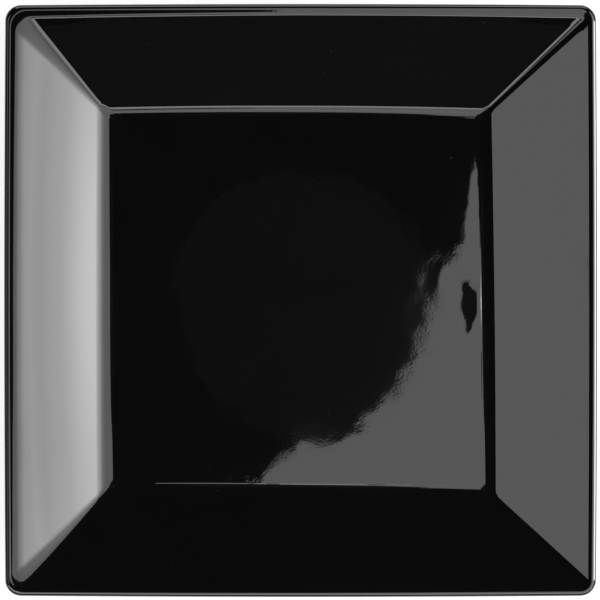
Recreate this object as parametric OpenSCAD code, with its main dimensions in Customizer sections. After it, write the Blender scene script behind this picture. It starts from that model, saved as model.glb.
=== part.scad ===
// Square dinner plate in glazed stoneware
//
// One fired clay body carries three coats of black glaze. The face coat covers the
// well, the four sloping rim facets and the lip. The back coat runs from the lip down
// the underside to the foot ring. A third coat fills the recess inside the foot ring,
// and the foot ring itself stays bare, because it stands on the kiln shelf.
//
// Every surface is one loft of plan outlines along one section of the plate. The
// section is a chain of straight lines with a rounding at each corner, and each coat
// is the space between that section and the same section set back by the glaze.
// Units are millimetres. The plate stands on z = 0 with its centre over the origin.

/* [Plate] */
// Width across the middle of opposite sides
plate_w = 260; // [220:1:300]
// Height of the lip above the table
plate_h = 25; // [20:0.5:36]
// How far the middle of each side bows out beyond its ends
side_bow = 0.5; // [0.1:0.1:2]
// Corner radius of the plate's outline
corner_r = 7; // [4:0.5:12]

/* [Well] */
// Width of the flat well, from crease to crease
well_w = 170; // [160:1:185]
// Corner radius of the well
well_corner_r = 3; // [2:0.2:8]
// Thickness of the floor, both glazes included
floor_t = 4.5; // [3.5:0.1:6.5]
// Radius of the soft crease between the floor and the rim
crease_r = 17; // [6:0.5:20]

/* [Rim and lip] */
// Thickness of the rim where it leaves the floor
rim_t = 4.8; // [4:0.1:6]
// Plan radius of the mitres where the rim facets end
mitre_r = 6; // [2.6:0.2:8]
// Rounding radius of the lip
lip_r = 1.8; // [1.5:0.1:2.4]
// Height of the short upright band between the lip's two roundings
lip_land = 0.5; // [0.3:0.1:1.5]
// Slope of the lip's inner flank, in degrees
flank_angle = 14; // [10:1:16]
// Depth below the lip of the narrow shelf inside it, where the flank ends
shelf_d = 0.12; // [0.1:0.02:0.3]
// Radius of the hollow between the flank and the shelf
hollow_r = 1.5; // [0.5:0.1:1.5]
// Width of the shelf
shelf_w = 1.3; // [1.2:0.1:2.4]
// Slope of the shelf, in degrees
shelf_angle = 4; // [2:0.5:8]
// Rounding radius of the brow, where the shelf breaks into the rim facet
brow_r = 3; // [1:0.2:3.4]

/* [Foot ring] */
// Distance from the well's crease in to the foot ring's outer wall
foot_inset = 10; // [7:0.5:30]
// Height of the foot ring below the floor
foot_h = 3; // [2:0.1:6]
// Width of the foot ring's wall
foot_ring_w = 4.5; // [3:0.1:8]
// Corner radius of the foot ring, outside
foot_corner_r = 12; // [9:0.5:25]
// Fillet radius where the foot ring meets the floor
foot_fillet_r = 1; // [0.5:0.1:2]
// Rounding radius of the foot ring's standing edges
foot_edge_r = 0.8; // [0.3:0.1:1.5]

/* [Glaze] */
// Thickness of each coat of glaze
glaze_t = 0.3; // [0.2:0.05:0.4]

/* [Hidden] */

// Colours of the fired clay and of the glaze
clay_colour = "#8b8174";
glaze_colour = "#141416";

// Facets of one plan corner and of one side, both even
corner_steps = 6;
side_steps = 6;
// Facets of the roundings along the section
crease_steps = 5;
brow_steps = 4;
hollow_steps = 2;
lip_steps = 6;
lip_under_steps = 4;
foot_steps = 3;

// Half widths, measured at the middle of a side
plate_half = plate_w / 2;
well_half = well_w / 2;
foot_half = well_half - foot_inset;
foot_in_half = foot_half - foot_ring_w;

// Heights
floor_z = foot_h + floor_t;
lip_z = plate_h - lip_r;
lip_under_z = lip_z - lip_land;
seam_z = lip_z - lip_land / 2;

// The foot's roundings share its height and its wall with the straight part between them
foot_round_share = 0.3;
fillet_r = min(foot_fillet_r, foot_h * foot_round_share);
edge_r = min(foot_edge_r, foot_h * foot_round_share, foot_ring_w * foot_round_share);
// The glaze stops halfway up the straight part of the foot's wall
glaze_line_z = (edge_r + foot_h - fillet_r) / 2;

// The lip's inner flank leaves the lip's rounding at its own slope and runs down to the
// hollow, where the shelf begins. The brow is the shelf's inner end.
flank_start = [plate_half - lip_r - lip_r * sin(flank_angle), lip_z + lip_r * cos(flank_angle)];
hollow_z = plate_h - shelf_d;
hollow = [flank_start.x - (flank_start.y - hollow_z) / tan(flank_angle), hollow_z];
brow = hollow - shelf_w * [1, tan(shelf_angle)];

// Slope of the rim facet, and the corner where the rim's underside meets the floor's
rim_slope = atan2(brow.y - floor_z, brow.x - well_half);
under_r = crease_r + floor_t;
under_crease = [
    well_half + (rim_t / cos(rim_slope) - floor_t) / tan(rim_slope),
    foot_h
];

// The rim's underside is the line from that corner that just touches the lip's lower
// rounding
lip_under_centre = [plate_half - lip_r, lip_under_z];
to_lip = lip_under_centre - under_crease;
under_slope = atan2(to_lip.y, to_lip.x) - asin(lip_r / norm(to_lip));

// Height at which a line from a point, at a slope, crosses the plate's outline
function height_at_outline(from, slope) =
    from.y + (plate_half - from.x) * tan(slope);
lip_top_corner_z = height_at_outline(hollow, flank_angle);
lip_low_corner_z = height_at_outline(under_crease, under_slope);

// Corners of the glazed section from the middle of the well round to the middle of
// the recess, each as half width, height, rounding radius and facets. A corner with
// no radius is a line on a straight wall where a coat ends. The face's part runs to
// the lip's outermost line, and the back's part to the line on the foot's outer wall.
face_part = [
    [0, floor_z, 0, 0],
    [well_half, floor_z, crease_r, crease_steps],
    [brow.x, brow.y, brow_r, brow_steps],
    [hollow.x, hollow.y, hollow_r, hollow_steps],
    [plate_half, lip_top_corner_z, lip_r, lip_steps],
    [plate_half, seam_z, 0, 0]
];
back_part = [
    [plate_half, lip_low_corner_z, lip_r, lip_under_steps],
    [under_crease.x, under_crease.y, under_r, crease_steps],
    [foot_half, foot_h, fillet_r, foot_steps],
    [foot_half, glaze_line_z, 0, 0]
];
// The foot's bottom lies one coat low, because the clay is set back by a coat
// everywhere and stands bare on the table
foot_part = [
    [foot_half, -glaze_t, edge_r + glaze_t, foot_steps],
    [foot_in_half, -glaze_t, edge_r + glaze_t, foot_steps],
    [foot_in_half, glaze_line_z, 0, 0]
];
recess_part = [
    [foot_in_half, foot_h, fillet_r, foot_steps],
    [0, foot_h, 0, 0]
];

section = concat(face_part, back_part, foot_part, recess_part);

// Places in the section's list of the corners that begin and end the coats
at_seam = len(face_part) - 1;
at_outer_line = at_seam + len(back_part);
at_inner_line = at_outer_line + len(foot_part);
at_last = len(section) - 2;

// A corner's place on the section
function place(c) = [c[0], c[1]];

// Direction of the line from corner i to corner i + 1, in degrees
function heading(i) =
    let (d = place(section[i + 1]) - place(section[i]))
    atan2(d.y, d.x);

// An angle brought between -180 and 180 degrees
function wrapped(angle) = angle - 360 * floor((angle + 180) / 360);

// The stations of one rounded corner, each as half width, height and the direction of
// the outward normal. The normal lies 90 degrees left of the direction of travel.
function rounded(i) =
    let (
        c = section[i],
        r = c[2],
        a = heading(i - 1),
        turn = wrapped(heading(i) - a),
        bend = sign(turn),
        start = place(c) - r * tan(abs(turn) / 2) * [cos(a), sin(a)],
        centre = start + bend * r * [-sin(a), cos(a)]
    )
    r == 0
    ? [[c[0], c[1], a + 90]]
    : [for (k = [0 : c[3]])
        let (
            normal = a + 90 + turn * k / c[3],
            p = centre - bend * r * [cos(normal), sin(normal)]
        )
        [p.x, p.y, normal]];

// All stations from one corner of the section to another
function stations(first, last) = [for (i = [first : last]) each rounded(i)];

// Plan corner radius at a half width: one rule for the face, one for the back
function face_corner_r(half) =
    lookup(half, [[well_half, well_corner_r], [brow.x, mitre_r], [plate_half, corner_r]]);
function back_corner_r(half) =
    lookup(half, [
        [foot_in_half, foot_corner_r - foot_ring_w],
        [foot_half, foot_corner_r],
        [under_crease.x, well_corner_r],
        [plate_half, corner_r]
    ]);
function plan_corner_r(station) =
    sin(station[2]) > 0 ? face_corner_r(station[0]) : back_corner_r(station[0]);

// A quarter turn of a plan point, n times
function turned(p, n) =
    n == 0 ? p : turned([-p.y, p.x], n - 1);

// Plan outline of one station set back by a distance: a square with bowed sides and
// round corners, the same number of points at every station
function ring(station, set_back) =
    let (
        inward = set_back * cos(station[2]),
        half = station[0] - inward,
        r = plan_corner_r(station) - inward,
        z = station[1] - set_back * sin(station[2]),
        bow = side_bow * station[0] / plate_half,
        reach = half - bow,
        lean = atan(2 * bow / (reach - r)),
        corner = reach - r * cos(lean),
        side_end = corner + r * sin(lean),
        half_corner = corner_steps / 2,
        upper = [for (k = [0 : half_corner - 1])
            let (a = lean + (45 - lean) * k / half_corner)
            [corner + r * cos(a), corner + r * sin(a)]],
        lower = [for (k = [half_corner : -1 : 1])
            let (a = lean + (45 - lean) * k / half_corner)
            [corner + r * cos(a), -corner - r * sin(a)]],
        side = [for (k = [0 : side_steps - 1])
            let (share = 2 * k / side_steps - 1)
            [half - bow * share * share, side_end * share]],
        quarter = concat(lower, side, upper)
    )
    [for (n = [0 : 3]) for (p = quarter) let (q = turned(p, n)) [q.x, q.y, z]];

// Rings of a chain of stations, set back by a distance
function rings(chain, set_back) = [for (s = chain) ring(s, set_back)];

function reversed(list) = [for (i = [len(list) - 1 : -1 : 0]) list[i]];

// Closed skin over a list of rings. A capped skin ends in two flat faces, and an
// uncapped one runs back to its first ring.
module skin(ring_list, capped) {
    count = len(ring_list[0]);
    total = len(ring_list);
    bands = capped ? total - 1 : total;
    side_faces = [for (i = [0 : bands - 1]) for (j = [0 : count - 1])
        let (
            a = i * count + j,
            b = i * count + (j + 1) % count,
            c = (i + 1) % total * count + (j + 1) % count,
            d = (i + 1) % total * count + j
        )
        each [[a, b, c], [a, c, d]]];
    first_cap = [for (j = [count - 1 : -1 : 0]) j];
    last_cap = [for (j = [0 : count - 1]) (total - 1) * count + j];
    polyhedron(
        points = [for (r = ring_list) each r],
        faces = capped ? concat([first_cap], side_faces, [last_cap]) : side_faces,
        convexity = 6
    );
}

// The fired clay: floor, rim, lip and the bare foot ring, a coat inside every glazed face
module stoneware_body() {
    color(clay_colour)
    skin(rings(stations(1, at_last), glaze_t), true);
}

// Glaze over the well, the rim facets and the top of the lip
module face_glaze() {
    chain = stations(1, at_seam);
    color(glaze_colour)
    skin(concat(rings(chain, 0), reversed(rings(chain, glaze_t))), true);
}

// Glaze under the lip and the rim, down to the line on the foot ring's outer wall
module back_glaze() {
    chain = stations(at_seam, at_outer_line);
    color(glaze_colour)
    skin(concat(rings(chain, 0), reversed(rings(chain, glaze_t))), false);
}

// Glaze in the recess inside the foot ring
module foot_recess_glaze() {
    chain = stations(at_inner_line, at_last);
    color(glaze_colour)
    skin(concat(reversed(rings(chain, glaze_t)), rings(chain, 0)), true);
}

stoneware_body();
face_glaze();
back_glaze();
foot_recess_glaze();
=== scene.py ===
# %% [markdown]
# # A square dinner plate in black gloss glaze
#
# The plate is one pressed and fired clay body under three coats of glaze: one over the
# face, one under the rim and one in the recess inside the foot ring. A gloss black
# glaze has next to no colour of its own. What the eye reads is the light that it
# mirrors, so this lesson spends its effort on an exact, slightly uneven surface and on
# what stands round the plate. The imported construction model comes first, as the frame
# that every piece has to fit.

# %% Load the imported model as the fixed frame
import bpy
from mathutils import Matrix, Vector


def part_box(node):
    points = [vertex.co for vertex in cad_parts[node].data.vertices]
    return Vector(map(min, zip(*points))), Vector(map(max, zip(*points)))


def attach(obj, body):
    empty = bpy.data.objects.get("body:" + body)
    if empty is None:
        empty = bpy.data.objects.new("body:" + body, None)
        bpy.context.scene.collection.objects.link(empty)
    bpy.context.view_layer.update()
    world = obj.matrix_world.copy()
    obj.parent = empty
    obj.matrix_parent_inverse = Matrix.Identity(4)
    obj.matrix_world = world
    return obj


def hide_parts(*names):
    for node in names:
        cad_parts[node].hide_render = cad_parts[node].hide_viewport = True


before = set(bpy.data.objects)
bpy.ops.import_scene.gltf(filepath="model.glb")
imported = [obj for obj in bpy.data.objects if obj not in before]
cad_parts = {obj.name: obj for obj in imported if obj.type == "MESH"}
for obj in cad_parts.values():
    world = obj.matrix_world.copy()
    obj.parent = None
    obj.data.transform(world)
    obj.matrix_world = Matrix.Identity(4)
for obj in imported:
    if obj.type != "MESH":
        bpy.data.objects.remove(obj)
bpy.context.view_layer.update()        # the plate's bodies, nodes, joints and record

import bpy
import numpy as np

print("nodes:", sorted(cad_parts))

# %% [markdown]
# ## The section
#
# Cut the plate in half and the cut face shows one outline: the flat well, a soft
# crease, a rim facet that bulges a little, a narrow shelf, the rolled lip, the underside
# and the foot. It is a chain of straight lines with a rounding at each corner. A corner
# is written as half width, height, rounding radius and number of steps. The overall
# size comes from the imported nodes. The rest are the potter's own sizes.

# %% Driving sizes of the plate
MM = 0.001

plate_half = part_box("face_glaze")[1].x
plate_h = round(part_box("face_glaze")[1].z, 4)
side_bow = 0.5 * MM
corner_r = 7.0 * MM
well_half = 85.0 * MM
well_corner_r = 3.0 * MM
# Plan radius of the mitres: far right, far left, near left and near right
mitre_r = np.array([4.0, 7.4, 6.5, 3.6]) * MM
floor_t = 4.5 * MM
rim_t = 4.8 * MM
lip_r = 1.8 * MM
lip_land = 0.5 * MM
flank_angle = np.radians(14)
shelf_d = 0.15 * MM
hollow_r = 1.5 * MM
foot_half = well_half - 10.0 * MM
foot_in_half = foot_half - 4.5 * MM
foot_h = 3.0 * MM
foot_corner_r = 12.0 * MM
fillet_r = 0.9 * MM
edge_r = 0.8 * MM
glaze_t = 0.3 * MM

floor_z = foot_h + floor_t
lip_z = plate_h - lip_r
lip_under_z = lip_z - lip_land
seam_z = lip_z - lip_land / 2
glaze_line_z = (edge_r + foot_h - fillet_r) / 2
print(f"plate {2000 * plate_half:.1f} mm wide, {1000 * plate_h:.1f} mm high")

# %% Corners of the face, from the middle of the well out to the seam on the lip
flank_start = np.array([plate_half - lip_r - lip_r * np.sin(flank_angle),
                        lip_z + lip_r * np.cos(flank_angle)])
hollow_z = plate_h - shelf_d
hollow_h = flank_start[0] - (flank_start[1] - hollow_z) / np.tan(flank_angle)
flank_end_z = hollow_z + (plate_half - hollow_h) * np.tan(flank_angle)


def rounding(before, corner, after, tangent):
    """Radius of a corner: its tangent length over the tangent of half the turn."""
    first, last = (np.arctan2(*(b - a)[::-1]) for a, b in ((before, corner), (corner, after)))
    return tangent / np.tan(abs(last - first) / 2)


def face_corners(crease, facet, shelf, brow_r):
    """Corners of the face on one side of the plate, from sizes in millimetres.

    The crease has an offset outwards and a radius, the shelf a width and an angle. The
    facet is three lines. They meet over its middle at twice the crown, because a
    rounding passes about halfway between its corner and the chord, and again a little
    before the brow. The facet's three values are the crown, a lift of that second corner
    that makes the brow milder, and the tangent length of its rounding as a share of the
    facet. The rounding over the middle takes the most that the second one leaves.
    """
    (crease_out, crease_r), (crown, lift, soft), (shelf_w, shelf_angle) = crease, facet, shelf
    start = np.array([well_half + crease_out * MM, floor_z])
    shelf_run = shelf_w * MM * np.array([1, np.tan(np.radians(shelf_angle))])
    brow = np.array([hollow_h, hollow_z]) - shelf_run
    run = brow - start
    length = np.hypot(*run)
    across = np.array([-run[1], run[0]]) / length
    middle = start + 0.5 * run + 2 * crown * MM * across
    outer = start + (0.96 - soft) * run + (0.4 * crown + lift) * MM * across
    middle_tangent = (0.45 - 2 * soft) * length
    return [
        (0, floor_z, 0, 0),
        (*start, crease_r * MM, 20),
        (*middle, rounding(start, middle, outer, middle_tangent), 20),
        (*outer, rounding(middle, outer, brow, soft * length), 10),
        (*brow, brow_r * MM, 14),
        (hollow_h, hollow_z, hollow_r, 6),
        (plate_half, flank_end_z, lip_r, 18),
        (plate_half, seam_z, 0, 0),
    ]


near_face = face_corners((0, 17), (0.2, 0.01, 0.06), (1.05, 8), 3)
far_face = face_corners((0, 13), (0.2, 0.01, 0.06), (1.9, 7.5), 7)
left_face = face_corners((0.67, 18.9), (0.46, 0.1, 0.03), (1.62, 1.5), 10)

# %% Corners of the underside, the foot and the recess
brow_h, brow_z = near_face[4][:2]
rim_slope = np.arctan2(brow_z - floor_z, brow_h - well_half)
under_h = well_half + (rim_t / np.cos(rim_slope) - floor_t) / np.tan(rim_slope)
to_lip = np.array([plate_half - lip_r - under_h, lip_under_z - foot_h])
under_slope = np.arctan2(to_lip[1], to_lip[0]) - np.arcsin(lip_r / np.hypot(*to_lip))

back_corners = [
    (plate_half, foot_h + (plate_half - under_h) * np.tan(under_slope), lip_r, 12),
    (under_h, foot_h, 17 * MM + floor_t, 12),
    (foot_half, foot_h, fillet_r, 8),
    (foot_half, glaze_line_z, 0, 0),
]
foot_corners = [
    (foot_half, -glaze_t, edge_r + glaze_t, 8),
    (foot_in_half, -glaze_t, edge_r + glaze_t, 8),
    (foot_in_half, glaze_line_z, 0, 0),
]
recess_corners = [
    (foot_in_half, foot_h, fillet_r, 8),
    (0, foot_h, 0, 0),
]
at_seam = len(near_face) - 1
at_outer_line = at_seam + len(back_corners)
at_inner_line = at_outer_line + len(foot_corners)
at_last = at_inner_line + len(recess_corners) - 1
under = back_corners + foot_corners + recess_corners
sections = [face + under for face in (near_face, far_face, left_face)]
print(f"rim facets slope {np.degrees(rim_slope):.1f} degrees")

# %% Stations along the section
def rounded(section, index):
    """Stations of one rounded corner: half width, height and direction of the normal.

    The arc's centre lies one radius to the inside of the line that arrives, level with
    the arc's start, which is radius times the tangent of half the turn before the
    corner. The steps are drawn together at both ends, by half a cosine wave, so that
    the shading runs on smoothly into the straight parts.
    """
    h, z, r, steps = section[index]
    before, after = (np.subtract(section[i + 1][:2], section[i][:2]) for i in (index - 1, index))
    heading = np.arctan2(before[1], before[0])
    turn = np.arctan2(after[1], after[0]) - heading
    turn -= 2 * np.pi * np.floor((turn + np.pi) / (2 * np.pi))
    if r == 0:
        return np.array([[h, z, heading + np.pi / 2]])
    along = np.array([np.cos(heading), np.sin(heading)])
    across = np.array([-along[1], along[0]])
    bend = np.sign(turn)
    centre = np.array([h, z]) - r * np.tan(abs(turn) / 2) * along + bend * r * across
    share = (1 - np.cos(np.pi * np.arange(steps + 1) / steps)) / 2
    normal = heading + np.pi / 2 + turn * share
    outward = np.stack([np.cos(normal), np.sin(normal)], axis=1)
    return np.column_stack([centre - bend * r * outward, normal])


def stations(first, last, longest):
    """Stations of the three sections between two corners.

    A step longer than the longest one is divided evenly, alike on all sections. The
    result is an array of sections by stations by half width, height, normal. Normals
    are unwrapped first, since one direction may be written as -90 or as 270 degrees
    and the value halfway between the two would point the wrong way.
    """
    chains = np.array([[row for i in range(first, last + 1) for row in rounded(section, i)]
                       for section in sections])
    chains[:, :, 2] = np.unwrap(chains[:, :, 2], axis=1)
    length = np.hypot(*np.diff(chains[0, :, :2], axis=0).T)
    parts = np.maximum(1, np.ceil(length / longest)).astype(int)
    at = np.concatenate([i + np.arange(n) / n for i, n in enumerate(parts)] + [[len(parts)]])
    old = np.arange(chains.shape[1])
    return np.array([np.column_stack([np.interp(at, old, chain[:, k]) for k in range(3)])
                     for chain in chains])


print("stations on the face:", stations(1, at_seam, 1.2 * MM).shape[1])

# %% [markdown]
# ## The plan
#
# Seen from above every station is a square with sides that bow out a little and with
# round corners. All rings have the same columns, so neighbouring rings join into quads
# with no sorting. One quarter of a ring is written once and turned three times. The
# photographed plate is crisp on its right and lower sides, has a tight crease on the
# far side and a soft brow on the left. So there are three sections, and each column
# blends them by its own shares.

# %% Plan rings
def columns(corner_steps, side_steps):
    """Share along the side (-1 to 1) and bend round the corner (-1 to 1) of a quarter."""
    bend = np.concatenate([np.arange(-corner_steps, 0) / corner_steps,
                           np.zeros(side_steps),
                           np.arange(corner_steps) / corner_steps])
    share = np.concatenate([-np.ones(corner_steps),
                            2 * np.arange(side_steps) / side_steps - 1,
                            np.ones(corner_steps)])
    return share, bend


def places(share, bend):
    """Place of each column round the plate: 0 at the middle of the right side, 1 at the
    middle of the far side, 2 on the left and 3 below. The corners are halfway between."""
    return np.concatenate([(share + bend) / 4 + side for side in range(4)])


def looks_up(normal):
    """True on the upper side. An upright wall, whose sine is 0 but for rounding, isn't."""
    return np.sin(normal) > 1e-6


def plan_corner_r(half, normal, place):
    """Corner radius of the plan: one rule for the upper side, one for the underside. On
    the upper side each of the four mitres has its own radius at the brow."""
    knots = [well_half, brow_h, plate_half]
    mitre = mitre_r[np.floor(place).astype(int) % 4]
    face = (np.interp(half, knots, [well_corner_r, 0, corner_r])
            + mitre * np.interp(half, knots, [0, 1, 0]))
    back = np.interp(half, [foot_in_half, foot_half, under_h, plate_half],
                     [foot_corner_r - foot_half + foot_in_half, foot_corner_r,
                      well_corner_r, corner_r])
    return np.where(looks_up(normal), face, back)


def section_shares(place):
    """Shares of the near, far and left sections at each place, as an array."""
    far = np.interp(place, [0.3, 0.7, 1.0, 1.6], [0, 1, 1, 0])
    left = np.interp(place, [1.0, 1.6, 2.42, 2.8], [0, 1, 1, 0])
    return np.stack([1 - far - left, far, left])


def rings(chains, set_back, quarter):
    """Points of all rings of a chain, as an array of stations by columns by x, y, z.

    A side is a parabola: half width less the bow times the square of the share. It
    meets the corner arc at the angle whose tangent is twice the bow over the side's
    half length. Set back, each point moves against its station's normal.
    """
    share, bend = (np.tile(a, 4) for a in quarter)
    place = places(*quarter)
    h, z, normal = np.einsum("ksc,kj->csj", chains, section_shares(place))
    inward = set_back * np.cos(normal)
    half = h - inward
    r = plan_corner_r(h, normal, place) - inward
    bow = side_bow * h / plate_half
    reach = half - bow
    lean = np.arctan(2 * bow / (reach - r))
    corner = reach - r * np.cos(lean)
    side_end = corner + r * np.sin(lean)
    angle = lean + (np.pi / 4 - lean) * np.abs(bend)
    on_side = bend == 0
    x = np.where(on_side, half - bow * share**2, corner + r * np.cos(angle))
    y = np.where(on_side, side_end * share, np.sign(bend) * (corner + r * np.sin(angle)))
    side = np.repeat(np.arange(4), len(quarter[0]))
    turn_x, turn_y = np.array([1, 0, -1, 0])[side], np.array([0, 1, 0, -1])[side]
    plan = np.stack([x * turn_x - y * turn_y, x * turn_y + y * turn_x,
                     z - set_back * np.sin(normal)], axis=2)
    return pressed(plan, h, normal)


def pressed(points, half, normal):
    """Shifts points as the press did: the die sat off centre and a little askew.

    The well moved 1.4 mm to the left. Its right and near sides lean by 0.7 and 0.9
    degrees, and the far side bows out. All this fades over the rim and is gone at the
    lip. Only the face, where normals point up, shows it.
    """
    fade = np.interp(half, [well_half, hollow_h], [1.0, 0.0])
    shift = np.interp(half, [well_half, brow_h, hollow_h], [-1.4 * MM, 0.35 * MM, 0])
    face = looks_up(normal)
    x, y = points[:, :, 0], points[:, :, 1]
    right, far = (np.clip((v + well_half) / (2 * well_half), 0, 1) for v in (x, y))
    lean_x = -0.012 * right * fade * y
    lean_y = -0.0156 * right * fade * x * (1 - far)
    bow = np.interp(half, [well_half, brow_h, hollow_h], [-1.0 * MM, -0.7 * MM, 0])
    moved = points.copy()
    moved[:, :, 0] += face * (shift + lean_x)
    moved[:, :, 1] += face * (lean_y + bow * far * (x / half)**2)
    return moved


fine = columns(10, 120)
plain = columns(8, 60)
print("columns round the face and round the clay:", 4 * len(fine[0]), 4 * len(plain[0]))

# %% Skins from rings
def ring_faces(count, total, closed=False):
    """Quads between neighbouring rings. They face outwards when the chain runs clockwise
    in section, from the well over the lip to the foot."""
    bands = total if closed else total - 1
    i, j = np.meshgrid(np.arange(bands), np.arange(count), indexing="ij")
    after, beside = (i + 1) % total, (j + 1) % count
    quads = [i * count + j, after * count + j, after * count + beside, i * count + beside]
    return np.stack(quads, axis=2).reshape(-1, 4)


def floor_patch(ring, start):
    """Fills a ring with a square grid of points.

    A point is the blend of the points facing it on the four sides, less the blend of
    the four corners, which is counted twice (a Coons patch). Returns the new inner
    points and the grid of vertex numbers, whose border is the ring's own vertices.
    """
    q = len(ring) // 4
    order = np.arange(q + 1)
    right, top, left, bottom = order, 2 * q - order, 3 * q - order, (3 * q + order) % (4 * q)
    s, t = (a[:, :, None] for a in np.meshgrid(order / q, order / q, indexing="ij"))
    sides = ((1 - s) * ring[left][None, :] + s * ring[right][None, :]
             + (1 - t) * ring[bottom][:, None] + t * ring[top][:, None])
    corners = ((1 - s) * (1 - t) * ring[left[0]] + s * (1 - t) * ring[right[0]]
               + (1 - s) * t * ring[left[q]] + s * t * ring[right[q]])
    inner = (sides - corners)[1:-1, 1:-1].reshape(-1, 3)
    grid = np.zeros((q + 1, q + 1), int)
    grid[1:-1, 1:-1] = start + np.arange((q - 1)**2).reshape(q - 1, q - 1)
    grid[0, :], grid[q, :], grid[:, 0], grid[:, q] = left, right, bottom, top
    return inner, grid


def grid_faces(grid):
    """Quads of a grid of vertex numbers, facing up."""
    quads = [grid[:-1, :-1], grid[1:, :-1], grid[1:, 1:], grid[:-1, 1:]]
    return np.stack(quads, axis=2).reshape(-1, 4)


def add_piece(name, points, quads, caps=()):
    """Puts whole arrays of points, quads and many-sided caps into a new mesh object."""
    sizes = np.concatenate([np.full(len(quads), 4), [len(c) for c in caps]]).astype(int)
    loops = np.concatenate([quads.ravel(), *caps]).astype(np.int32)
    starts = np.concatenate([[0], np.cumsum(sizes)[:-1]]).astype(np.int32)
    mesh = bpy.data.meshes.new(name)
    mesh.vertices.add(len(points))
    mesh.vertices.foreach_set("co", points.astype(np.float32).ravel())
    mesh.loops.add(len(loops))
    mesh.loops.foreach_set("vertex_index", loops)
    mesh.polygons.add(len(sizes))
    mesh.polygons.foreach_set("loop_start", starts)
    mesh.update(calc_edges=True)
    mesh.validate()
    mesh.shade_smooth()
    mesh.set_sharp_from_angle(angle=np.radians(50))
    piece = bpy.data.objects.new(name, mesh)
    bpy.context.scene.collection.objects.link(piece)
    print(f"{name}: {len(points)} points, {(sizes - 2).sum()} triangles")
    return piece


# %% [markdown]
# ## The uneven surface of a real glaze
#
# A fired glaze is a pool that has set. It never lies as flat as window glass: the clay
# under it has warped a little and the pool has its own slow swell. A mirror doubles
# every slope, so a swell of a few hundredths of a millimetre bends the edge of a
# reflected light by several millimetres. Here the swell is a sum of plane waves, each
# one shorter and lower than the one before, laid at turning angles so that no pattern
# repeats.
#
# Eight hills and dents are laid where the photograph shows the reflection bent
# or torn. Most lie in the right half of the well, one along its near crease, and one is
# a sag in the far right corner of the rim.

# %% Swell of the glaze
golden_angle = 2.39996


def swell(x, y, longest=60 * MM, slope=0.0007, count=16, fade=0.82):
    """Height of the swell at plan points.

    Wave k has the longest wavelength times fade to the power k, its direction turns by
    the golden angle each time, and its height is the slope times the wavelength over
    two pi, so that every wave leans the surface alike.
    """
    height = np.zeros(np.shape(x))
    for k in range(count):
        wavelength = longest * fade**k
        angle = golden_angle * k + 0.7
        phase = 1.9 * k**1.3
        run = x * np.cos(angle) + y * np.sin(angle)
        height += slope * wavelength / (2 * np.pi) * np.sin(2 * np.pi * run / wavelength + phase)
    return height


def hill(x, y, middle, widths, height):
    """A bell-shaped hill: height times e to minus the sum of the squares of x and y
    measured from the middle in widths. All in millimetres."""
    across, along = ((v / MM - m) / w for v, m, w in zip((x, y), middle, widths))
    return height * MM * np.exp(-across**2 - along**2)


# Middle, widths and height of each laid hill
hills = [
    ((79.0, 42), (3.0, 30), -0.070),    # gutter that thins the bright patch's far end
    ((79.5, -1), (5.2, 12), 0.185),     # ridge whose flank mirrors the dark mark
    ((74.5, 7), (2.0, 3), 0.018),       # two lumps that fray the mark's ends
    ((76.0, -14), (2.2, 3), 0.030),
    ((62.0, 10), (4.0, 6), 0.030),      # two low hills that bend the patch's border
    ((73.0, 19), (9.0, 14), 0.070),
    ((12, -81), (45, 30), 0.135),       # long hill that pulls back the border's near end
    ((108, 122), (14, 9), -0.09),       # sag in the far right corner of the rim
]


def unevenness(x, y):
    """Swell and laid hills of the face together."""
    return swell(x, y) + sum(hill(x, y, *laid) for laid in hills)


sample = swell(np.linspace(-well_half, well_half, 500), 0.0)
print(f"swell along the middle of the well: {1e6 * np.ptp(sample):.0f} micrometres")

# %% Face glaze
hidden_rings = 25


def make_face_glaze():
    """Well, rim facets, shelf and the top of the lip, over the set-back clay.

    The side that lies on the clay never shows, so it makes do with few rings. The flat
    of the well is uneven, and so is the top of the rim, from the lip's shoulder up to
    the shelf, where the unevenness grows to its full size. The crease and most of the
    facets between them stay true.
    """
    outer = rings(stations(1, at_seam, 1.2 * MM), 0, fine)
    hidden = stations(1, at_seam, 6 * MM)
    kept = np.linspace(hidden.shape[1] - 1, 0, hidden_rings).round().astype(int)
    inner = rings(hidden[:, kept], glaze_t, fine)
    count, total = outer.shape[1], len(outer) + len(inner)
    patch, grid = floor_patch(outer[0], total * count)
    calm = np.interp(outer[:, :, 2], [lip_z, plate_h - shelf_d], [0.0, 1.0])
    outer[:, :, 2] += calm * unevenness(outer[:, :, 0], outer[:, :, 1])
    patch[:, 2] += unevenness(patch[:, 0], patch[:, 1])
    points = np.concatenate([outer.reshape(-1, 3), inner.reshape(-1, 3), patch])
    quads = np.concatenate([ring_faces(count, total), grid_faces(grid)])
    cap = np.arange(count)[::-1] + (total - 1) * count
    return add_piece("face_glaze_coat", points, quads, [cap])


face_glaze = make_face_glaze()

# %% [markdown]
# ## The coats underneath
#
# The back coat is sprayed with the plate upside down and wiped off the foot with a wet
# sponge. In the fire the wiped edge draws back a little and stands up as a round roll,
# and it never runs quite level. The same is true of the coat in the recess. Both rolls
# are half circles as wide as the coat is thick.

# %% Back glaze
back_swell = (45 * MM, 0.0015)


def glaze_roll(half, side):
    """Half circle of stations that ends a coat on a wall of the foot.

    Side is 1 on the outer wall and -1 on the inner one. The normal starts straight out
    of the coat, turns down and ends pointing at the clay.
    """
    angle = np.linspace(0, np.pi, 9)
    r = glaze_t / 2
    across, down = np.cos(angle), np.sin(angle)
    chain = np.stack([half - side * r + side * r * across, glaze_line_z + r - r * down,
                      np.arctan2(-down, side * across)], axis=1)
    return np.stack([chain] * len(sections))


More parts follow.
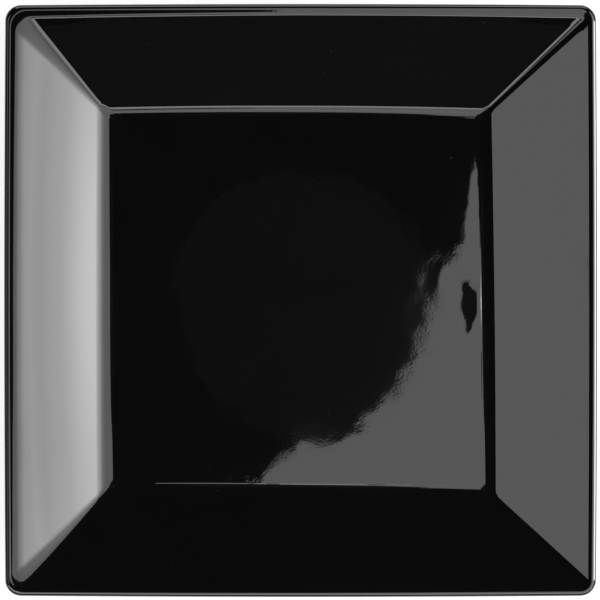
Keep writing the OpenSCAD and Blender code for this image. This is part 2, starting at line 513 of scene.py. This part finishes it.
def uneven_line(points, depth):
    """Lets the edge of a coat on the foot run up and down by a few tenths.

    Only points within the depth of the glaze line move, in proportion, so the rest of
    the wall stays where it is.
    """
    angle = np.arctan2(points[:, :, 1], points[:, :, 0])
    wander = sum(np.sin(n * angle + n * n) / n**0.7 for n in (3, 7, 13, 29, 53)) * 0.11 * MM
    near = np.clip(1 - (points[:, :, 2] - glaze_line_z) / depth, 0, 1)
    moved = points.copy()
    moved[:, :, 2] += near * wander
    return moved


def make_back_glaze():
    """Underside of the lip and the rim, down to the roll on the foot's outer wall."""
    chain = stations(at_seam, at_outer_line, 2.5 * MM)[:, :-1]
    roll = glaze_roll(foot_half, 1)
    outer = rings(np.concatenate([chain, roll], axis=1), 0, fine)
    calm = np.interp(outer[:, :, 2], [foot_h, lip_under_z - lip_r, seam_z], [0, 1, 0])
    outer[:, :, 2] += calm * swell(outer[:, :, 0], outer[:, :, 1], *back_swell)
    inner = rings(chain[:, ::-1], glaze_t, fine)
    points = uneven_line(np.concatenate([outer, inner]), foot_h - glaze_line_z)
    quads = ring_faces(points.shape[1], len(points), closed=True)
    return add_piece("back_glaze_coat", points.reshape(-1, 3), quads)


back_glaze = make_back_glaze()

# %% Recess glaze
def make_recess_glaze():
    """The downward face of the floor inside the foot ring, with its roll on the wall."""
    chain = stations(at_inner_line, at_last, 3 * MM)[:, 1:]
    roll = glaze_roll(foot_in_half, -1)[:, ::-1]
    inner = rings(chain[:, ::-1], glaze_t, plain)
    outer = rings(np.concatenate([roll, chain], axis=1), 0, plain)
    points = uneven_line(np.concatenate([inner, outer]), foot_h - glaze_line_z)
    count, total = points.shape[1], len(points)
    patch, grid = floor_patch(points[-1], total * count)
    grid = np.where(grid < count, grid + (total - 1) * count, grid)
    patch[:, 2] += swell(patch[:, 0], patch[:, 1], *back_swell)
    quads = np.concatenate([ring_faces(count, total), grid_faces(grid)[:, ::-1]])
    cap = np.arange(count)[::-1]
    return add_piece("recess_glaze_coat", np.concatenate([points.reshape(-1, 3), patch]), quads, [cap])


recess_glaze = make_recess_glaze()

# %% [markdown]
# ## The clay body
#
# The body is hidden but for the foot ring, where the kiln shelf would have stuck to any
# glaze. It is the same section set back by one coat. The bare ring is modelled, and
# its grain, iron specks and toasted edge come from the material.

# %% Stoneware body
def make_body():
    """The clay: everything a coat inside the glazed faces, with the bare foot ring."""
    chain = stations(1, at_last, 6 * MM)
    points = rings(chain, glaze_t, plain)
    count, total = points.shape[1], len(points)
    caps = [np.arange(count), np.arange(count)[::-1] + (total - 1) * count]
    return add_piece("stoneware_plate_body", points.reshape(-1, 3), ring_faces(count, total), caps)


body = make_body()

# %% [markdown]
# ## Shared effects
#
# Two effects serve several materials. Scattered specks are the round cells of a Voronoi
# texture with only the middle of some of them kept, and stand for iron spots, dust and
# pinholes. Fine grain is a noise at two sizes, and stands for the orange-peel skin of
# the glaze and for the tooth of the clay. Both measure in metres on the object.

# %% Helpers for node trees
def add_node(tree, kind, **values):
    """Adds a node and sets its inputs or properties by name."""
    node = tree.nodes.new(kind)
    for name, value in values.items():
        title = name.replace("_", " ")
        if title in node.inputs:
            node.inputs[title].default_value = value
        else:
            setattr(node, name.lower(), value)
    return node


def new_group(name, inputs, output):
    """A node group with number inputs after its vector, and one number output."""
    group = bpy.data.node_groups.new(name, "ShaderNodeTree")
    group.interface.new_socket("Vector", in_out="INPUT", socket_type="NodeSocketVector")
    for title, value in inputs.items():
        socket = group.interface.new_socket(title, in_out="INPUT", socket_type="NodeSocketFloat")
        socket.default_value = value
    group.interface.new_socket(output, in_out="OUTPUT", socket_type="NodeSocketFloat")
    return group, group.nodes.new("NodeGroupInput"), group.nodes.new("NodeGroupOutput")


def use_group(tree, group, vector, **values):
    """Places a group in a material and returns its output."""
    node = tree.nodes.new("ShaderNodeGroup")
    node.node_tree = group
    tree.links.new(vector, node.inputs["Vector"])
    for name, value in values.items():
        node.inputs[name].default_value = value
    return node.outputs[0]


# %% Scattered specks
def make_specks():
    """Mask of round specks: 1 inside, 0 outside.

    Each cell of the Voronoi texture carries a random colour. A cell keeps its speck
    when the red part of that colour is below the share, and the green part scales the
    speck between a third and the full size.
    """
    group, source, sink = new_group(
        "scattered specks", {"Scale": 400.0, "Size": 0.2, "Share": 0.3}, "Mask")
    cells = add_node(group, "ShaderNodeTexVoronoi")
    link = group.links.new
    link(source.outputs["Vector"], cells.inputs["Vector"])
    link(source.outputs["Scale"], cells.inputs["Scale"])
    random = add_node(group, "ShaderNodeSeparateColor")
    link(cells.outputs["Color"], random.inputs[0])
    kept = add_node(group, "ShaderNodeMath", operation="LESS_THAN")
    link(random.outputs[0], kept.inputs[0])
    link(source.outputs["Share"], kept.inputs[1])
    spread = add_node(group, "ShaderNodeMapRange", To_Min=0.33, To_Max=1.0)
    link(random.outputs[1], spread.inputs["Value"])
    radius = add_node(group, "ShaderNodeMath", operation="MULTIPLY")
    link(spread.outputs[0], radius.inputs[0])
    link(source.outputs["Size"], radius.inputs[1])
    inner = add_node(group, "ShaderNodeMath", operation="MULTIPLY")
    inner.inputs[1].default_value = 0.6
    link(radius.outputs[0], inner.inputs[0])
    disc = add_node(group, "ShaderNodeMapRange", To_Min=1.0, To_Max=0.0)
    link(cells.outputs["Distance"], disc.inputs["Value"])
    link(inner.outputs[0], disc.inputs["From Min"])
    link(radius.outputs[0], disc.inputs["From Max"])
    mask = add_node(group, "ShaderNodeMath", operation="MULTIPLY")
    link(disc.outputs[0], mask.inputs[0])
    link(kept.outputs[0], mask.inputs[1])
    link(mask.outputs[0], sink.inputs["Mask"])
    return group


specks = make_specks()

# %% Fine grain
def make_grain():
    """Height of a fine grain between 0 and 1: three parts of a noise at the given scale
    and one part of another, three times as fine."""
    group, source, sink = new_group("fine grain", {"Scale": 500.0, "Detail": 2.0}, "Height")
    link = group.links.new
    coarse = add_node(group, "ShaderNodeTexNoise")
    finer = add_node(group, "ShaderNodeTexNoise")
    triple = add_node(group, "ShaderNodeMath", operation="MULTIPLY")
    triple.inputs[1].default_value = 3.1
    link(source.outputs["Scale"], triple.inputs[0])
    for noise, scale in ((coarse, source.outputs["Scale"]), (finer, triple.outputs[0])):
        link(source.outputs["Vector"], noise.inputs["Vector"])
        link(source.outputs["Detail"], noise.inputs["Detail"])
        link(scale, noise.inputs["Scale"])
    blend = add_node(group, "ShaderNodeMix", Factor=0.25)
    link(coarse.outputs[0], blend.inputs["A"])
    link(finer.outputs[0], blend.inputs["B"])
    link(blend.outputs[0], sink.inputs["Height"])
    return group


grain = make_grain()
print("groups:", [group.name for group in bpy.data.node_groups])

# %% [markdown]
# ## Black gloss glaze
#
# The glaze is a glass made black with iron, cobalt and manganese. Under a strong light
# its colour drifts a little between blue-black and brown-black. Its skin is smooth with
# a faint orange peel, here and there it holds a pinhole from a burst bubble, and a few
# motes of dust lie on it. The gloss varies slowly, where the kiln's air reached it more
# or less.

# %% Glaze material
def new_material(name):
    """An empty node material with its Principled shader, and its object coordinates."""
    material = bpy.data.materials.new(name)
    material.use_nodes = True
    tree = material.node_tree
    place = tree.nodes.new("ShaderNodeTexCoord").outputs["Object"]
    return material, tree, tree.nodes["Principled BSDF"], place


def blend_colours(tree, factor, first, second):
    """Colour that runs from the first to the second as the factor runs from 0 to 1. Each
    is a plain colour or an output of another node."""
    node = tree.nodes.new("ShaderNodeMix")
    node.data_type = "RGBA"
    tree.links.new(factor, node.inputs["Factor"])
    for socket, colour in ((node.inputs[6], first), (node.inputs[7], second)):
        if isinstance(colour, tuple):
            socket.default_value = (*colour, 1)
        else:
            tree.links.new(colour, socket)
    return node.outputs[2]


def make_black_glaze():
    """Drift colours the glaze and sets its gloss, dust dulls it, and two bumps follow
    each other: the skin, 3 micrometres high, and the pinholes, 60 deep."""
    material, tree, shader, place = new_material("black gloss glaze")
    link = tree.links.new
    shader.inputs["IOR"].default_value = 1.5
    drift = add_node(tree, "ShaderNodeTexNoise", Scale=30.0, Detail=3.0)
    link(place, drift.inputs["Vector"])
    dust = use_group(tree, specks, place, Scale=400.0, Size=0.05, Share=0.08)
    pinholes = use_group(tree, specks, place, Scale=300.0, Size=0.06, Share=0.05)

    blue_black, brown_black, dust_grey = (
        (0.0011, 0.0011, 0.0014), (0.0017, 0.0015, 0.0013), (0.09, 0.088, 0.085))
    black = blend_colours(tree, drift.outputs[0], blue_black, brown_black)
    link(blend_colours(tree, dust, black, dust_grey), shader.inputs["Base Color"])

    gloss = add_node(tree, "ShaderNodeMapRange", From_Min=0.3, From_Max=0.7, To_Min=0.015, To_Max=0.035)
    link(drift.outputs[0], gloss.inputs["Value"])
    duller = add_node(tree, "ShaderNodeMapRange", To_Min=0.0, To_Max=0.5)
    link(dust, duller.inputs["Value"])
    rough = add_node(tree, "ShaderNodeMath", operation="MAXIMUM")
    link(gloss.outputs[0], rough.inputs[0])
    link(duller.outputs[0], rough.inputs[1])
    link(rough.outputs[0], shader.inputs["Roughness"])

    peel = use_group(tree, grain, place, Scale=900.0, Detail=1.0)
    skin = add_node(tree, "ShaderNodeBump", Distance=3.2e-6)
    link(peel, skin.inputs["Height"])
    pits = add_node(tree, "ShaderNodeBump", Distance=6e-5)
    pits.invert = True
    link(pinholes, pits.inputs["Height"])
    link(skin.outputs[0], pits.inputs["Normal"])
    link(pits.outputs[0], shader.inputs["Normal"])
    return material


glaze_material = make_black_glaze()

# %% [markdown]
# ## Bare stoneware
#
# The foot ring shows the fired clay: a warm grey-brown with dark iron spots, matte and
# slightly sandy, and toasted to orange-brown in the line next to the glaze, where the
# glaze's vapour flashed it.

# %% Clay material
def make_bare_clay():
    """Clouds of two clay tones, toasted with height over the table, with iron specks on
    top. The same sand that makes the tooth varies the roughness."""
    material, tree, shader, place = new_material("bare stoneware")
    link = tree.links.new
    clouds = add_node(tree, "ShaderNodeTexNoise", Scale=45.0, Detail=5.0)
    link(place, clouds.inputs["Vector"])
    iron = use_group(tree, specks, place, Scale=520.0, Size=0.3, Share=0.28)
    sand = use_group(tree, grain, place, Scale=1500.0, Detail=3.0)

    height = add_node(tree, "ShaderNodeSeparateXYZ")
    link(place, height.inputs[0])
    toasted = add_node(tree, "ShaderNodeMapRange", From_Min=0.25 * MM, From_Max=1.3 * MM, To_Max=0.8)
    link(height.outputs["Z"], toasted.inputs["Value"])

    dark_clay, pale_clay = (0.21, 0.175, 0.14), (0.31, 0.265, 0.22)
    toast, iron_brown = (0.27, 0.13, 0.06), (0.05, 0.035, 0.028)
    clay = blend_colours(tree, clouds.outputs[0], dark_clay, pale_clay)
    warm = blend_colours(tree, toasted.outputs[0], clay, toast)
    link(blend_colours(tree, iron, warm, iron_brown), shader.inputs["Base Color"])
    matte = add_node(tree, "ShaderNodeMapRange", To_Min=0.97, To_Max=0.72)
    link(sand, matte.inputs["Value"])
    link(matte.outputs[0], shader.inputs["Roughness"])
    tooth = add_node(tree, "ShaderNodeBump", Distance=1.2e-4)
    link(sand, tooth.inputs["Height"])
    link(tooth.outputs[0], shader.inputs["Normal"])
    return material


clay_material = make_bare_clay()

# %% Each piece takes its node's place
for piece, node, slot, material in (
    (face_glaze, "face_glaze", "black_glaze", glaze_material),
    (back_glaze, "back_glaze", "black_glaze", glaze_material),
    (recess_glaze, "foot_recess_glaze", "black_glaze", glaze_material),
    (body, "stoneware_body", "stoneware", clay_material),
):
    piece.data.materials.append(material)
    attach(piece, "root")
    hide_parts(node)
print("pieces:", [piece.name for piece in (face_glaze, back_glaze, recess_glaze, body)])

# %% [markdown]
# ## The camera
#
# The photograph looks straight down from well above, and the plate all but fills the
# frame. A lens of the right length makes the frame's half width meet the lip's level.

# %% Camera
camera_height = 1.5
frame_half = 131.37 * MM
camera_data = bpy.data.cameras.new("camera above the plate")
camera_data.sensor_width = 36.0
camera_data.lens = camera_data.sensor_width / 2 * (camera_height - plate_h) / frame_half
camera_data.clip_end = 50
camera = bpy.data.objects.new("camera above the plate", camera_data)
camera.location = (-0.28 * MM, 0.2 * MM, camera_height)
bpy.context.scene.collection.objects.link(camera)
bpy.context.scene.camera = camera
bpy.context.scene.view_settings.view_transform = "Standard"
print(f"lens {camera_data.lens:.0f} mm at {camera_height} m")

# %% [markdown]
# ## The floor
#
# The table is a pale matte sheet. The camera's own rays and mirrored rays see part of
# it as plain white, so it reads as the photograph's white ground. The other part is
# real light and shade, and keeps the plate's shadow.

# %% Floor
floor_reach, floor_z_under, white_share = 6.0, -0.1 * MM, 0.82


def flat_sheet(name, corners):
    """A stage sheet of one face through its corners, listed anticlockwise as seen from
    the side that it faces."""
    mesh = bpy.data.meshes.new(name)
    mesh.from_pydata(corners, [], [list(range(len(corners)))])
    sheet = bpy.data.objects.new(name, mesh)
    bpy.context.scene.collection.objects.link(sheet)
    return sheet


def make_floor():
    """The pale sheet. Rays of the camera, of mirrors and of glass see the white share of
    it as plain white. All other rays find it matte."""
    floor = flat_sheet("floor", [(floor_reach * x, floor_reach * y, floor_z_under)
                                 for x, y in ((-1, -1), (1, -1), (1, 1), (-1, 1))])
    material, tree, shader, _ = new_material("pale floor")
    shader.inputs["Base Color"].default_value = (0.9, 0.9, 0.9, 1)
    shader.inputs["Roughness"].default_value = 0.9
    shader.inputs["Specular IOR Level"].default_value = 0
    link = tree.links.new
    white = add_node(tree, "ShaderNodeEmission", Strength=1.0)
    ray = tree.nodes.new("ShaderNodeLightPath")
    seen = [add_node(tree, "ShaderNodeMath", operation="MAXIMUM") for _ in range(2)]
    link(ray.outputs["Is Camera Ray"], seen[0].inputs[0])
    link(ray.outputs["Is Glossy Ray"], seen[0].inputs[1])
    link(seen[0].outputs[0], seen[1].inputs[0])
    link(ray.outputs["Is Transmission Ray"], seen[1].inputs[1])
    share = add_node(tree, "ShaderNodeMath", operation="MULTIPLY")
    share.inputs[1].default_value = white_share
    link(seen[1].outputs[0], share.inputs[0])
    mix = tree.nodes.new("ShaderNodeMixShader")
    link(share.outputs[0], mix.inputs["Fac"])
    link(shader.outputs[0], mix.inputs[1])
    link(white.outputs[0], mix.inputs[2])
    link(mix.outputs[0], tree.nodes["Material Output"].inputs["Surface"])
    floor.data.materials.append(material)
    return floor


floor = make_floor()

# %% [markdown]
# ## The lights
#
# Everything bright on the plate is one of these sheets seen in the glaze. A gloss
# surface seen nearly head-on mirrors four hundredths of the light, so a facet that
# reads as mid grey looks at a sheet several times brighter than white paper.
#
# 1. A large diffuser hangs above, to the right of the lens. A lamp behind its far end
#    makes a hot spot there. The left facet looks at the slope of that glow, the well
#    and the creases look at its even part. Its front edge is brighter, and a bar of its
#    frame crosses it near that edge.
# 2. A tall narrow softbox stands at the far right and lights the outside of the lip.
# 3. A second, smaller diffuser hangs to the left, which is all that the right facet sees.
# 4. Two low cards stand in front and behind, and draw the lip's thin outer lines.
# 5. A dim stretch of ceiling in front keeps the far facet just off black.
# 6. A black card round the lens keeps the middle of the well dark. Its round edge draws
#    the middle part of the bright patch's border, and the first diffuser's edge the ends.

# %% Sheets of light
def glowing(name, radiance):
    """A material that only gives off light of one strength."""
    material = bpy.data.materials.new(name)
    material.use_nodes = True
    tree = material.node_tree
    tree.nodes.clear()
    output = tree.nodes.new("ShaderNodeOutputMaterial")
    emission = add_node(tree, "ShaderNodeEmission", Strength=radiance)
    tree.links.new(emission.outputs[0], output.inputs["Surface"])
    return material, tree, emission


def softbox(name, corners, radiance):
    """A sheet of light that the camera itself doesn't see."""
    sheet = flat_sheet(name, corners)
    material, tree, emission = glowing(name, radiance)
    sheet.data.materials.append(material)
    sheet.visible_camera = False
    return tree, emission


def level_box(low_x, high_x, low_y, high_y, z):
    """Corners of a level rectangle that faces down."""
    return [(low_x, low_y, z), (low_x, high_y, z), (high_x, high_y, z), (high_x, low_y, z)]


# %% Diffuser with its hot spot
edge_distance = 0.0690
edge_normal = np.array([0.757, -0.653])
edge_along = np.array([0.653, 0.757])
edge_point = edge_distance * edge_normal
near_y, far_y, far_x = -0.86, 1.05, 1.9
hot_x, hot_y, stretch_y = 1.70, 0.02, 0.9
glow_reach, glow_top, radiance_top = 1.4, 13.5, 27.0
start = edge_point + edge_along * (near_y - edge_point[1]) / edge_along[1]
end = edge_point + edge_along * (far_y - edge_point[1]) / edge_along[1]
diffuser_z = camera_height + 0.01
outline = [start, end, (far_x, far_y), (far_x, near_y)]
tree, emission = softbox("diffuser", [(*corner, diffuser_z) for corner in outline], radiance_top)
spot = tree.nodes.new("ShaderNodeTexCoord").outputs["Object"]
centred = add_node(tree, "ShaderNodeMapping", Location=(-hot_x, -hot_y * stretch_y, 0.0),
                   Scale=(1.0, stretch_y, 0.0))
distance = add_node(tree, "ShaderNodeVectorMath", operation="LENGTH")
# The glow by distance from the hot spot in metres. Its top stands for the top radiance
glow = tree.nodes.new("ShaderNodeValToRGB")
glow.color_ramp.interpolation = "LINEAR"
falloff = [(0.0, 13.5), (0.06, 13.3), (0.10, 12.9), (0.14, 12.2), (0.18, 11.4), (0.22, 10.5), (0.27, 9.5),
           (0.31, 8.7), (0.39, 8.1), (0.43, 7.7), (0.47, 7.2), (0.50, 7.4), (0.54, 7.8), (0.60, 6.9),
           (0.73, 5.6), (0.83, 4.5), (0.95, 3.3), (1.05, 2.8), (1.2, 2.4), (1.4, 2.28)]
while len(glow.color_ramp.elements) < len(falloff):
    glow.color_ramp.elements.new(0.5)
for stop, (reach, level) in zip(glow.color_ramp.elements, falloff):
    stop.position = reach / glow_reach
    stop.color = (level / glow_top,) * 3 + (1,)
scaled = add_node(tree, "ShaderNodeMath", operation="DIVIDE")
scaled.inputs[1].default_value = glow_reach
strength = add_node(tree, "ShaderNodeMath", operation="MULTIPLY")
strength.inputs[1].default_value = radiance_top
link = tree.links.new
link(spot, centred.inputs["Vector"])
link(centred.outputs[0], distance.inputs[0])
link(distance.outputs["Value"], scaled.inputs[0])
link(scaled.outputs[0], glow.inputs["Fac"])
link(glow.outputs["Color"], strength.inputs[0])
parts = tree.nodes.new("ShaderNodeSeparateXYZ")
link(spot, parts.inputs[0])
near_front = add_node(tree, "ShaderNodeMapRange", From_Min=-0.90, From_Max=-0.15)
link(parts.outputs["Y"], near_front.inputs["Value"])
front = tree.nodes.new("ShaderNodeValToRGB")
front.color_ramp.elements[0].color = (1.0, 1.0, 1.0, 1)
front.color_ramp.elements[1].color = (0.5, 0.5, 0.5, 1)
for at, share in ((0.28, 1.0), (0.35, 0.42), (0.44, 0.42), (0.55, 0.55), (0.80, 0.58)):
    front.color_ramp.elements.new(at).color = (share,) * 3 + (1,)
link(near_front.outputs[0], front.inputs["Fac"])
total = add_node(tree, "ShaderNodeMath", operation="MULTIPLY")
link(strength.outputs[0], total.inputs[0])
link(front.outputs["Color"], total.inputs[1])
link(total.outputs[0], emission.inputs["Strength"])

# %% The other sheets
def upright(low, high, z_low, z_high):
    """Corners of an upright rectangle between two points of the plan. It faces to the
    left of the way from the first point to the second."""
    return [(*low, z_low), (*low, z_high), (*high, z_high), (*high, z_low)]


left_outline = [(-0.885, -0.6), (-1.40, -0.6), (-1.40, 0.6), (-0.70, 0.6), (-0.885, -0.05)]
for name, corners, radiance in (
    ("tall softbox", upright((1.6, -0.3), (1.6, 0.3), 0.05, 1.3), 22.0),
    ("left diffuser", [(x, y, 1.4) for x, y in left_outline], 2.35),
    ("front card", upright((0.5, -0.33), (-0.5, -0.33), 0.18, 0.4), 5.2),
    ("back card", upright((-0.6, 1.0), (0.6, 1.0), 0.3, 0.85), 4.0),
    ("dim ceiling in front", level_box(-0.6, 0.6, -2.4, -1.0, 1.5), 0.06),
):
    softbox(name, corners, radiance)

bar = flat_sheet("frame bar", level_box(-0.30, -0.04, -0.60, -0.52, camera_height))
card_r, card_z = 0.1135, camera_height + 0.005
lens_card = flat_sheet("black card round the lens", [
    (card_r * np.cos(a), card_r * np.sin(a), card_z) for a in -2 * np.pi * np.arange(64) / 64])
card_material, tree, shader, _ = new_material("black card")
shader.inputs["Base Color"].default_value = (0.01, 0.01, 0.01, 1)
shader.inputs["Roughness"].default_value = 0.9
for card in (lens_card, bar):
    card.data.materials.append(card_material)
    card.visible_camera = False

# %% [markdown]
# ## The room
#
# The room is dark overhead and pale only at the horizon, where the sweep of paper rises
# behind the table.

# %% World
horizon, overhead = 0.9, 0.015
world = bpy.data.worlds.new("studio")
bpy.context.scene.world = world
world.use_nodes = True
tree = world.node_tree
tree.nodes.clear()
output = tree.nodes.new("ShaderNodeOutputWorld")
background = tree.nodes.new("ShaderNodeBackground")
direction = tree.nodes.new("ShaderNodeTexCoord")
parts = tree.nodes.new("ShaderNodeSeparateXYZ")
ramp = add_node(tree, "ShaderNodeMapRange", From_Min=0.05, From_Max=0.3,
                To_Min=horizon, To_Max=overhead)
ramp.interpolation_type = "SMOOTHSTEP"
tree.links.new(direction.outputs["Generated"], parts.inputs[0])
tree.links.new(parts.outputs["Z"], ramp.inputs["Value"])
tree.links.new(ramp.outputs[0], background.inputs["Strength"])
tree.links.new(background.outputs[0], output.inputs["Surface"])
